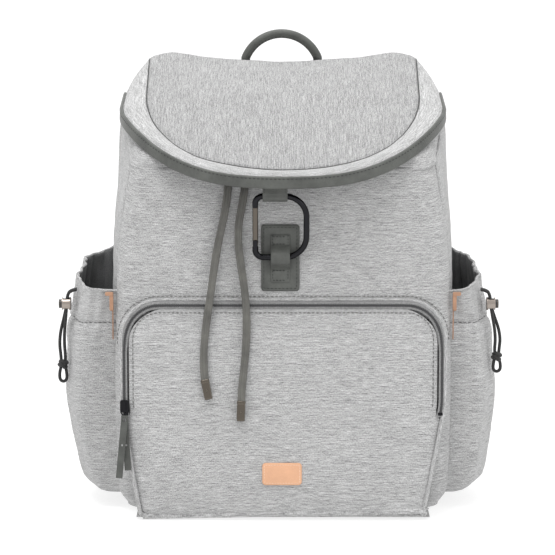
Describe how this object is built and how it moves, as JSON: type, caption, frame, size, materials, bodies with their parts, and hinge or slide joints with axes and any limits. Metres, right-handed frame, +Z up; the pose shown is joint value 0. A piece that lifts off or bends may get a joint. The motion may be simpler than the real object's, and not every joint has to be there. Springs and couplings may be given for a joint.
{
  "type": "diaper bag",
  "caption": "Backpack-style fabric diaper bag with a clipped flap lid, zipped front pocket, gathered side pockets, leather trim, grab handle and shoulder straps.",
  "frame": {"origin": "on the floor under the middle of the body, at the centre of the base rest mount", "axes": "+Z up, the front with the zipped pocket faces -Y, +X to the right as seen from the front"},
  "size_m": [0.4162, 0.2031, 0.4407],
  "materials": {
    "heather_canvas": "slub weave, light heather grey",
    "lid_canvas": "slub weave, light heather grey, turned a quarter",
    "lining_cloth": "plain weave, dark grey",
    "pad_mesh": "spacer mesh, charcoal",
    "webbing": "ribbed webbing, charcoal",
    "board": "stiff board inside the base",
    "trim_leather": "pebbled charcoal leather",
    "cord_leather": "folded brown-grey leather",
    "tan_leather": "smooth tan leather",
    "label_leather": "smooth peach leather, stitched",
    "black_metal": "glossy black nickel",
    "bright_metal": "polished nickel",
    "rose_metal": "polished rose gold",
    "zip_tape": "woven zipper tape",
    "zip_teeth": "dark coil",
    "black_plastic": "moulded black plastic",
    "elastic": "braided round elastic"
  },
  "bodies": {
    "bag": {"front_panel": "heather_canvas", "back_panel": "heather_canvas", "base_panel": "heather_canvas", "side_panel_left": "heather_canvas", "side_panel_right": "heather_canvas", "mouth_casing": "heather_canvas", "pocket_gusset": "heather_canvas", "pocket_panel": "heather_canvas", "side_pocket_left": "heather_canvas", "side_pocket_right": "heather_canvas", "side_pocket_hem_left": "heather_canvas", "side_pocket_hem_right": "heather_canvas", "lining": "lining_cloth", "inner_pocket": "lining_cloth", "inner_pocket_elastic": "elastic", "elastic_cord_left": "elastic", "elastic_cord_right": "elastic", "cord_knot_left": "elastic", "cord_knot_right": "elastic", "base_board": "board", "catch_patch": "trim_leather", "catch_strap": "trim_leather", "handle_anchor": "trim_leather", "strap_heads": "trim_leather", "strap_feet": "trim_leather", "drawstring_left": "cord_leather", "drawstring_right": "cord_leather", "drawstring_run": "cord_leather", "strap_webbing_left": "webbing", "strap_webbing_right": "webbing", "pocket_tabs": "tan_leather", "label": "label_leather", "drawstring_tip_left": "bright_metal", "drawstring_tip_right": "bright_metal", "zipper_tape": "zip_tape", "zipper_teeth": "zip_teeth", "back_pad_upper": "pad_mesh", "back_pad_lower": "pad_mesh"},
    "lid": {"lid_top_panel": "lid_canvas", "lid_band": "lid_canvas", "lid_binding": "trim_leather", "lid_lining": "lining_cloth", "lid_loop": "trim_leather"},
    "clip": {"clip_frame": "black_metal", "clip_rivet": "bright_metal"},
    "gate": {"clip_gate": "bright_metal"},
    "slider": {"zip_slider": "black_metal"},
    "pull": {"zip_ring": "black_metal", "zip_tail_long": "trim_leather", "zip_tail_short": "trim_leather"},
    "handle_loop": {"handle": "trim_leather", "handle_core": "webbing"},
    "lock_left": {"cord_lock_body_left": "rose_metal"},
    "lock_button_left": {"cord_lock_button_left": "black_plastic"},
    "strap_left": {"shoulder_strap_left": "pad_mesh", "strap_adjuster_left": "black_plastic"},
    "lock_right": {"cord_lock_body_right": "rose_metal"},
    "lock_button_right": {"cord_lock_button_right": "black_plastic"},
    "strap_right": {"shoulder_strap_right": "pad_mesh", "strap_adjuster_right": "black_plastic"}
  },
  "joints": [
    {"name": "lid_hinge", "type": "hinge", "parent": "bag", "child": "lid", "pos_m": [0, 0.0745, 0.404], "axis": [-1, 0, 0], "range_deg": [0, 105], "deforming": ["catch_strap"]},
    {"name": "clip_swing", "type": "hinge", "parent": "lid", "child": "clip", "pos_m": [0, -0.08, 0.296], "axis": [-1, 0, 0], "range_deg": [0, 60], "deforming": ["catch_strap"]},
    {"name": "gate_hinge", "type": "hinge", "parent": "clip", "child": "gate", "pos_m": [-0.0252, -0.0702, 0.25177], "axis": [0, 0.9763, 0.2164], "range_deg": [0, 25], "stiffness_Nm_per_rad": 0.05, "springref_deg": -20.05},
    {"name": "zip_slide", "type": "slide", "parent": "bag", "child": "slider", "axis": [0, 0.176, 0.9844], "range_m": [0, 0.045]},
    {"name": "zip_pull_hinge", "type": "hinge", "parent": "slider", "child": "pull", "pos_m": [-0.1442, -0.08876, 0.10357], "axis": [-1, 0, 0], "range_deg": [0, 150]},
    {"name": "handle_hinge", "type": "hinge", "parent": "bag", "child": "handle_loop", "pos_m": [0, 0.086, 0.413], "axis": [-1, 0, 0], "range_deg": [0, 40], "stiffness_Nm_per_rad": 0.08, "springref_deg": -5.73},
    {"name": "lock_slide_left", "type": "slide", "parent": "bag", "child": "lock_left", "axis": [0, 0, -1], "range_m": [0, 0.02], "deforming": ["elastic_cord_left"]},
    {"name": "lock_press_left", "type": "slide", "parent": "lock_left", "child": "lock_button_left", "axis": [1, 0, 0], "range_m": [0, 0.002], "stiffness_N_per_m": 400, "springref_m": -0.002, "deforming": ["elastic_cord_left"]},
    {"name": "strap_hinge_left", "type": "hinge", "parent": "bag", "child": "strap_left", "pos_m": [0, 0.086, 0.384], "axis": [1, 0, 0], "range_deg": [0, 20], "deforming": ["strap_webbing_left"]},
    {"name": "lock_slide_right", "type": "slide", "parent": "bag", "child": "lock_right", "axis": [0, 0, -1], "range_m": [0, 0.02], "deforming": ["elastic_cord_right"]},
    {"name": "lock_press_right", "type": "slide", "parent": "lock_right", "child": "lock_button_right", "axis": [-1, 0, 0], "range_m": [0, 0.002], "stiffness_N_per_m": 400, "springref_m": -0.002, "deforming": ["elastic_cord_right"]},
    {"name": "strap_hinge_right", "type": "hinge", "parent": "bag", "child": "strap_right", "pos_m": [0, 0.086, 0.384], "axis": [1, 0, 0], "range_deg": [0, 20], "deforming": ["strap_webbing_right"]}
  ]
}
